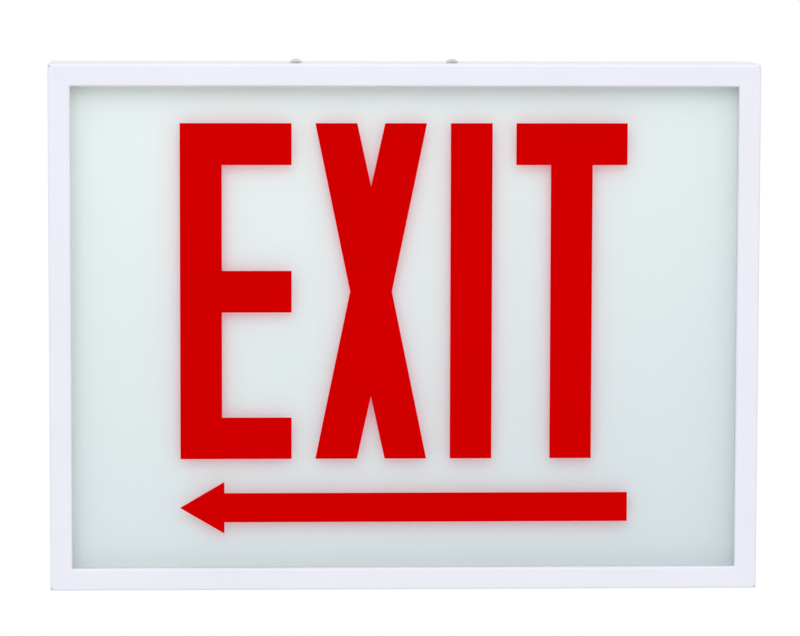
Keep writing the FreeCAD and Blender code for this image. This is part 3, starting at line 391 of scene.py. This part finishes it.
def capacitor_sleeve(name):
    return sleeve(name, (0.010, 0.012, 0.030), (0.020, 0.026, 0.060), wrinkle=240)


def relay_case(name):
    return moulded(name, (0.02, 0.07, 0.22), (0.03, 0.09, 0.28), rough=(0.25, 0.35))


def heat_sink_aluminium(name):
    return metal(name, (0.06, 0.06, 0.065), (0.12, 0.12, 0.125), (0.4, 0.55), scratch=(1, 1, 6))


def fuse_glass(name):
    return translucent(name, (0.75, 0.78, 0.78), (0.85, 0.88, 0.88))


def terminal_plastic(name):
    return moulded(name, (0.03, 0.16, 0.07), (0.045, 0.22, 0.10))


def socket_plastic(name):
    return moulded(name, (0.66, 0.64, 0.56), (0.76, 0.74, 0.67))


def led_lens(name):
    return translucent(name, (0.62, 0.02, 0.015), (0.80, 0.05, 0.03))


def cell_sleeve(name):
    return sleeve(name, (0.034, 0.11, 0.33), (0.041, 0.13, 0.375))


def button_red(name):
    return moulded(name, (0.50, 0.012, 0.010), (0.62, 0.02, 0.016), rough=(0.25, 0.38))


def indicator_red(name):
    return translucent(name, (0.50, 0.01, 0.01), (0.72, 0.03, 0.02))


def lead_sleeve(name):
    return moulded(name, (0.42, 0.012, 0.010), (0.52, 0.02, 0.016), grain=500)


def white_lead_sleeve(name):
    return moulded(name, (0.62, 0.62, 0.60), (0.72, 0.72, 0.70), grain=500)


def red_print(name):
    """Screen-printed red ink, flat and nearly free of gloss."""
    material = new_material(name, Specular_IOR_Level=0.0)
    colour_by(material, texture(material, "Noise", scale=11, Detail=3.0).outputs["Fac"], *print_colour)
    rough_by(material, texture(material, "Noise", scale=500).outputs["Fac"], 0.6, 0.8)
    bump_by(material, texture(material, "Noise", scale=3000).outputs["Fac"], height=0.000002)
    let_light_through(material, print_shadow)
    return material


makers = (
    white_powder_coat, galvanised_steel, zinc_hardware, gasket_rubber, clear_glass, opal_acrylic,
    white_plastic, black_plastic, green_plating, circuit_laminate, white_laminate, capacitor_sleeve,
    relay_case, heat_sink_aluminium, fuse_glass, terminal_plastic, socket_plastic, core_steel,
    winding_tape, led_lens, cell_sleeve, button_red, indicator_red, lead_sleeve, white_lead_sleeve,
)


def dress_nodes():
    """Each CAD node's plain material gives way to the finish of the same slot."""
    finishes = {maker.__name__: maker("finish_" + maker.__name__) for maker in makers}
    for node in nodes.values():
        for index, plain in enumerate(node.data.materials):
            node.data.materials[index] = finishes[plain.name.split(".")[0]]


# Print

def letter_e():
    """The outline of E in a letter's box."""
    w, h, s = letter_width, letter_height, letter_stroke
    low, high = (h - s) / 2, (h + s) / 2
    return [(0, 0), (w, 0), (w, s), (s, s), (s, low), (w, low), (w, high), (s, high), (s, h - s),
            (w, h - s), (w, h), (0, h)]


def letter_x():
    """The outline of X, whose waist is as wide as a stroke."""
    w, h, s = letter_width, letter_height, letter_stroke
    middle, waist = w / 2, h / 2
    return [(0, 0), (s, 0), (middle, notch_depth), (w - s, 0), (w, 0), (middle + s / 2, waist),
            (w, h), (w - s, h), (middle, h - notch_depth), (s, h), (0, h), (middle - s / 2, waist)]


def letter_i():
    """The outline of I."""
    h, s = letter_height, letter_stroke
    return [(0, 0), (s, 0), (s, h), (0, h)]


def letter_t():
    """The outline of T."""
    w, h, s = letter_width, letter_height, letter_stroke
    left, right = (w - s) / 2, (w + s) / 2
    return [(left, 0), (right, 0), (right, h - s), (w, h - s), (w, h), (0, h), (0, h - s), (left, h - s)]


def arrow():
    """The outline of the arrow, its tip at the left."""
    long, head_tall = arrow_head
    half = arrow_shaft / 2
    end = arrow_right - arrow_left
    return [(0, 0), (long, -head_tall / 2), (long, -half), (end, -half), (end, half), (long, half),
            (long, head_tall / 2)]


def in_scene(name, mesh, materials):
    """An object in the scene made from a mesh, with its materials."""
    data = bpy.data.meshes.new(name)
    mesh.to_mesh(data)
    mesh.free()
    for material in materials:
        data.materials.append(material)
    piece = bpy.data.objects.new(name, data)
    bpy.context.scene.collection.objects.link(piece)
    return piece


def printed(name, outline, left, bottom, ink):
    """A shape of ink on the glass, as a thin raised film with a softened rim."""
    mesh = bmesh.new()
    rear, face = (
        [mesh.verts.new((left + x, y, bottom + z)) for x, z in outline]
        for y in (glass_face, glass_face - print_thickness)
    )
    for index in range(len(outline)):
        mesh.faces.new((rear[index - 1], rear[index], face[index], face[index - 1]))
    mesh.faces.new(rear)
    mesh.faces.new(face)
    bmesh.ops.recalc_face_normals(mesh, faces=mesh.faces)
    film = in_scene(name, mesh, [ink])
    soften = film.modifiers.new("rim", "BEVEL")
    soften.width = print_thickness / 3
    soften.segments = 2
    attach(film, "door")


def print_sign():
    """EXIT in tall letters over a long arrow that points left."""
    ink = red_print("red_print")
    left = letter_left
    bottom = letter_top - letter_height
    for name, outline, width in (
        ("print_E", letter_e(), letter_width),
        ("print_X", letter_x(), letter_width),
        ("print_I", letter_i(), letter_stroke),
        ("print_T", letter_t(), letter_width),
    ):
        printed(name, outline, left, bottom, ink)
        left += width + letter_gap
    printed("print_arrow", arrow(), arrow_left, arrow_middle, ink)


# Small parts of the electronics

def ring(mesh, centre, across, other, radius, sides):
    """A circle of points round a centre, in the plane of two directions."""
    angles = [2 * math.pi * step / sides for step in range(sides)]
    return [
        mesh.verts.new(centre + (across * math.cos(angle) + other * math.sin(angle)) * radius)
        for angle in angles
    ]


def skin(mesh, rings, slots):
    """Smooth walls from ring to ring and flat ends, each in the slot of the ring that it ends at."""
    sides = len(rings[0])
    for low, high, slot in zip(rings, rings[1:], slots[1:]):
        for step in range(sides):
            after = (step + 1) % sides
            face = mesh.faces.new((low[step], low[after], high[after], high[step]))
            face.material_index = slot
            face.smooth = True
    for end in (0, -1):
        mesh.faces.new(rings[end]).material_index = slots[end]


def turned(mesh, profile, place, along, sides=20):
    """A profile of (distance, radius, slot) turned about an axis."""
    across = along.orthogonal().normalized()
    other = along.cross(across)
    rings = [
        ring(mesh, place + along * distance * mm, across, other, radius * mm, sides)
        for distance, radius, slot in profile
    ]
    skin(mesh, rings, [slot for distance, radius, slot in profile])


def bent_wire(mesh, points, radius, slot, sides=8):
    """A wire through points, mitred at each bend."""
    rings = []
    across = None
    for index, point in enumerate(points):
        before = (point - points[index - 1]).normalized() if index else None
        after = (points[index + 1] - point).normalized() if index + 1 < len(points) else None
        way = ((before or after) + (after or before)).normalized()
        if across is None:
            across = way.orthogonal().normalized()
        across = (across - way * across.dot(way)).normalized()
        rings.append(ring(mesh, point, across, way.cross(across), radius, sides))
    skin(mesh, rings, [slot] * len(rings))


def block(mesh, middle, size_mm, slot, rim_mm=0.0):
    """A rectangular body round a point, with its rim chamfered."""
    made = bmesh.ops.create_cube(mesh, size=1.0)["verts"]
    for vertex in made:
        vertex.co = middle + Vector(share * length * mm for share, length in zip(vertex.co, size_mm))
    faces = dict.fromkeys(face for vertex in made for face in vertex.link_faces)
    for face in faces:
        face.material_index = slot
    edges = list(dict.fromkeys(edge for face in faces for edge in face.edges))
    if rim_mm:
        bmesh.ops.bevel(
            mesh, geom=edges, offset=rim_mm * mm, segments=2, profile=0.5, affect="EDGES", material=-1
        )


def finished(name, mesh, materials):
    """A piece that rides on the box."""
    bmesh.ops.recalc_face_normals(mesh, faces=mesh.faces)
    piece = in_scene(name, mesh, materials)
    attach(piece, "box")
    return piece


def on_board(x, z, lift=0.0):
    """A point over the charger board, from millimetres right, up and out."""
    low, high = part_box("charger_board")
    return Vector((low.x + x * mm, low.y - lift * mm, low.z + z * mm))


def axial(mesh, place, profile, half_span, height, wire, slot):
    """An axial part on its two bent wires, with a collar of solder round each foot."""
    x, z, turn = place
    along = Vector((math.cos(math.radians(turn)), 0, math.sin(math.radians(turn))))
    middle = on_board(x, z, height)
    turned(mesh, profile, middle, along)
    sunk, bend, collar_sides = 0.1, 0.5, 12
    inner = profile[-1][0] - sunk
    collar = ((0.0, 0.75, slot), (0.35, 0.6, slot), (0.6, wire, slot))
    for sign in (-1, 1):
        start = middle + along * sign * inner * mm
        shoulder = middle + along * sign * (half_span - bend) * mm
        edge = middle + along * sign * half_span * mm
        knee = edge + inwards * bend * mm
        foot = edge + inwards * height * mm
        bent_wire(mesh, [start, shoulder, knee, foot], wire * mm, slot)
        turned(mesh, collar, foot, outwards, collar_sides)


def add_resistors(tin):
    """Banded resistors with their waists and wires."""
    mesh = bmesh.new()
    shell, brown, black, red, gold, wires = range(6)
    profile = (
        (-3.15, 0.45, shell), (-3.0, 0.95, shell), (-2.6, 1.2, shell), (-2.45, 1.2, shell),
        (-1.95, 1.2, brown), (-1.7, 1.0, shell), (-1.2, 1.0, shell), (-0.7, 1.0, black),
        (-0.2, 1.0, shell), (0.3, 1.0, red), (1.0, 1.0, shell), (1.45, 1.0, gold), (1.7, 1.0, shell),
        (2.0, 1.2, shell), (2.6, 1.2, shell), (3.0, 0.95, shell), (3.15, 0.45, shell),
    )
    for place in resistor_places_mm:
        axial(mesh, place, profile, half_span=5.0, height=1.5, wire=0.3, slot=wires)
    finished("board_resistors", mesh, [
        moulded("resistor_shell", (0.48, 0.36, 0.20), (0.56, 0.43, 0.26), rough=(0.3, 0.45)),
        moulded("band_brown", (0.11, 0.035, 0.012), (0.15, 0.05, 0.02)),
        moulded("band_black", (0.012, 0.012, 0.012), (0.02, 0.02, 0.02)),
        moulded("band_red", (0.45, 0.015, 0.01), (0.55, 0.02, 0.015)),
        metal("band_gold", (0.62, 0.42, 0.12), (0.74, 0.52, 0.18), (0.3, 0.45)),
        tin,
    ])


def add_diodes(tin):
    """Moulded diodes with a pale band at the cathode."""
    mesh = bmesh.new()
    shell, band, wires = range(3)
    profile = (
        (-2.6, 0.5, shell), (-2.5, 1.25, shell), (-2.35, 1.35, shell), (1.3, 1.35, shell),
        (1.9, 1.35, band), (2.35, 1.35, shell), (2.5, 1.25, shell), (2.6, 0.5, shell),
    )
    for place in diode_places_mm:
        axial(mesh, place, profile, half_span=4.6, height=1.6, wire=0.38, slot=wires)
    finished("board_diodes", mesh, [
        black_plastic("diode_black"),
        moulded("diode_band", (0.55, 0.55, 0.56), (0.65, 0.65, 0.66)),
        tin,
    ])


def add_ceramics(tin):
    """Dipped disc capacitors that stand on edge."""
    mesh = bmesh.new()
    dip, wires = range(2)
    profile = (
        (-1.1, 1.2, dip), (-0.95, 1.8, dip), (-0.6, 2.3, dip), (-0.2, 2.5, dip),
        (0.2, 2.5, dip), (0.6, 2.3, dip), (0.95, 1.8, dip), (1.1, 1.2, dip),
    )
    wire, sunk = 0.25, 1.0
    for x, z in ceramic_places_mm:
        turned(mesh, profile, on_board(x, z, ceramic_rise_mm), upwards)
        for sign in (-1, 1):
            foot_x = x + sign * ceramic_foot_mm
            ends = [on_board(foot_x, z, ceramic_rise_mm - sunk), on_board(foot_x, z)]
            bent_wire(mesh, ends, wire * mm, wires)
    dipped = moulded("ceramic_dip", (0.60, 0.25, 0.05), (0.68, 0.32, 0.08))
    finished("board_ceramics", mesh, [dipped, tin])


def add_trimmer(mesh, body, brass, groove):
    """A square trimmer with a slotted rotor."""
    x, z = trimmer_place_mm
    rotor = on_board(x, z, trimmer_height_mm)
    turned(mesh, ((0.0, 1.7, brass), (0.25, 1.7, brass), (0.35, 1.55, brass)), rotor, outwards)
    rotor_face = 0.375
    block(mesh, rotor + outwards * rotor_face * mm, (2.8, 0.15, 0.6), groove)
    size = (trimmer_width_mm, trimmer_height_mm, trimmer_width_mm)
    block(mesh, on_board(x, z, trimmer_height_mm / 2), size, body, rim_mm=0.25)


def add_transistor(mesh, body, wires):
    """A small transistor: a round body with one flat side, on three wires."""
    x, z = transistor_place_mm
    start = math.asin(transistor_flat_mm / transistor_radius_mm)
    corners = 15
    outline = []
    for step in range(corners):
        angle = -start + (math.pi + 2 * start) * step / (corners - 1)
        outline.append((transistor_radius_mm * math.cos(angle), transistor_radius_mm * math.sin(angle)))
    low, high = (
        [mesh.verts.new(on_board(x + right, z + up, lift)) for right, up in outline]
        for lift in transistor_span_mm
    )
    for step in range(corners):
        after = (step + 1) % corners
        mesh.faces.new((low[step], low[after], high[after], high[step])).material_index = body
    for end in (low, high):
        mesh.faces.new(end).material_index = body
    wire, sunk = 0.24, 0.2
    for side in (-1, 0, 1):
        foot_x = x + side * transistor_pitch_mm
        ends = [on_board(foot_x, z, transistor_span_mm[0] + sunk), on_board(foot_x, z)]
        bent_wire(mesh, ends, wire * mm, wires)


def add_trimmer_and_transistor(tin):
    """The board's trimmer and transistor. The bevelled block comes last, which keeps the faces in order."""
    mesh = bmesh.new()
    blue, brass, black, wires = range(4)
    add_transistor(mesh, black, wires)
    add_trimmer(mesh, blue, brass, black)
    finished("board_trimmer", mesh, [
        moulded("trimmer_blue", (0.02, 0.10, 0.38), (0.03, 0.13, 0.45), rough=(0.3, 0.4)),
        metal("trimmer_brass", (0.60, 0.45, 0.16), (0.72, 0.56, 0.24), (0.25, 0.4)),
        black_plastic("transistor_black"),
        tin,
    ])


def add_terminal_screws():
    """Slotted clamp screws at the bottom of the terminal block's wells."""
    mesh = bmesh.new()
    zinc, dark = range(2)
    profile = ((0.0, 1.6, zinc), (1.0, 1.6, zinc), (clamp_height_mm, 1.35, zinc))
    low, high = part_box("terminal_block")
    pitch = (high.x - low.x) / terminal_ways
    groove_face = clamp_height_mm + 0.05
    for way in range(terminal_ways):
        foot = Vector((low.x + (way + 0.5) * pitch, low.y + clamp_depth, low.z + clamp_rise))
        turned(mesh, profile, foot, outwards, sides=24)
        block(mesh, foot + outwards * groove_face * mm, (2.2, 0.1, 0.4), dark)
    finished("terminal_screws", mesh, [zinc_hardware("screw_zinc"), black_plastic("screw_slot")])


def add_led_chips(tin):
    """Chip resistors with their end caps between the lights, on both LED boards."""
    mesh = bmesh.new()
    black, cap = range(2)
    depth, breadth, length = chip_size_mm
    for sign in (-1, 1):
        board_face = abs(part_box("led_boards")[0].x) - led_board_thickness
        x = sign * (board_face - depth / 2 * mm)
        for step in range(chip_count):
            z = chip_pitch * (step - (chip_count - 1) / 2)
            block(mesh, Vector((x, chip_back, z)), chip_size_mm, black, rim_mm=0.08)
            for end in (-1, 1):
                place = Vector((x, chip_back, z + end * chip_cap_offset))
                block(mesh, place, (depth, breadth, chip_cap_mm), cap, rim_mm=0.06)
    finished("led_chips", mesh, [black_plastic("chip_black"), tin])


def add_spring():
    """The test switch's coil, drawn at its full length; nothing here shortens it as the button goes in."""
    low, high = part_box("test_switch_spring")
    middle = (low + high) / 2
    tall = high.z - low.z
    reach = (high.x - low.x) / 2 - spring_wire
    rise = tall - 2 * spring_wire
    steps = spring_turns * spring_steps
    points = []
    for step in range(steps + 1):
        part = step / steps
        angle = 2 * math.pi * spring_turns * part
        climb = min(max((part - spring_closed) / (1 - 2 * spring_closed), 0.0), 1.0)
        across = Vector((math.cos(angle), math.sin(angle), 0)) * reach
        points.append(Vector((middle.x, middle.y, low.z + spring_wire + rise * climb)) + across)
    mesh = bmesh.new()
    bent_wire(mesh, points, spring_wire, 0, sides=10)
    coil = finished("switch_coil", mesh, [zinc_hardware("coil_zinc")])
    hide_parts("test_switch_spring")
    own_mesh(coil)


def add_small_parts():
    """What the solids leave out of the electronics."""
    tin = metal("tinned_wire", (0.60, 0.60, 0.61), (0.74, 0.74, 0.75), (0.18, 0.32))
    add_resistors(tin)
    add_diodes(tin)
    add_ceramics(tin)
    add_trimmer_and_transistor(tin)
    add_terminal_screws()
    add_led_chips(tin)
    add_spring()


# Camera, light and floor

def away(azimuth, elevation):
    """The direction from the object towards a camera or lamp."""
    across = math.cos(elevation)
    return Vector((math.sin(azimuth) * across, -math.cos(azimuth) * across, math.sin(elevation)))


def add_camera():
    """The camera, aimed at a point of the frame's front."""
    data = bpy.data.cameras.new("camera")
    data.sensor_width = sensor_width
    data.lens = focal_length
    data.clip_start, data.clip_end = clip_range
    camera = bpy.data.objects.new("camera", data)
    back = away(camera_azimuth, camera_elevation)
    camera.location = Vector((camera_aim[0], front, camera_aim[1])) + back * camera_distance
    camera.rotation_mode = "QUATERNION"
    level = (-back).to_track_quat("-Z", "Y")
    camera.rotation_quaternion = Quaternion(back, camera_roll) @ level
    bpy.context.scene.collection.objects.link(camera)
    bpy.context.scene.camera = camera


def add_lamp(name, azimuth, elevation, distance, size, power):
    """A rectangular soft light that faces the object and isn't seen in reflections."""
    data = bpy.data.lights.new(name, "AREA")
    data.shape = "RECTANGLE"
    data.size, data.size_y = size
    data.energy = power
    lamp = bpy.data.objects.new(name, data)
    towards = away(azimuth, elevation)
    lamp.location = Vector((0, front, 0)) + towards * distance
    lamp.rotation_mode = "QUATERNION"
    lamp.rotation_quaternion = (-towards).to_track_quat("-Z", "Y")
    lamp.visible_glossy = False
    bpy.context.scene.collection.objects.link(lamp)


def add_world():
    """White to the camera, a soft grey light, and a room that darkens low down in reflections."""
    world = bpy.data.worlds.new("studio")
    bpy.context.scene.world = world
    world.use_nodes = True
    built_in = world.node_tree.nodes
    path = add(world, "LightPath")
    height = add(world, "SeparateXYZ")
    join(world, add(world, "TexCoord").outputs["Generated"], height.inputs["Vector"])
    low, high = room_heights
    dark, light = room_tones
    room = add(
        world, "MapRange", interpolation_type="SMOOTHSTEP",
        From_Min=low, From_Max=high, To_Min=dark, To_Max=light,
    )
    join(world, height.outputs["Z"], room.inputs["Value"])
    white = built_in["Background"]
    white.inputs["Color"].default_value = (1, 1, 1, 1)
    reflected = add(world, "Background", Color=(1, 1, 1, 1))
    join(world, room.outputs["Result"], reflected.inputs["Strength"])
    source = add(world, "Background", Color=(1, 1, 1, 1), Strength=ambient)
    seen = add_either(world, path.outputs["Is Camera Ray"], path.outputs["Is Transmission Ray"])
    for choice, background in ((path.outputs["Is Glossy Ray"], reflected), (seen, white)):
        mix = add(world, "MixShader")
        join(world, choice, mix.inputs["Fac"])
        join(world, source.outputs[0], mix.inputs[1])
        join(world, background.outputs[0], mix.inputs[2])
        source = mix
    join(world, source.outputs[0], built_in["World Output"].inputs["Surface"])


def add_floor():
    """A plain pale floor, well below the object."""
    mesh = bmesh.new()
    bmesh.ops.create_grid(mesh, x_segments=8, y_segments=8, size=floor_size / 2)
    bmesh.ops.translate(mesh, verts=mesh.verts, vec=(0, 0, -floor_drop))
    paint = moulded("floor_paint", (0.87, 0.87, 0.87), (0.89, 0.89, 0.89), rough=(0.7, 0.8))
    in_scene("floor", mesh, [paint])


dress_nodes()
print_sign()
add_small_parts()
add_camera()
add_lamp("key", key_azimuth, key_elevation, key_distance, key_size, key_power)
add_lamp("overhead", top_azimuth, top_elevation, top_distance, top_size, top_power)
add_world()
add_floor()
bpy.context.scene.view_settings.view_transform = "Standard"
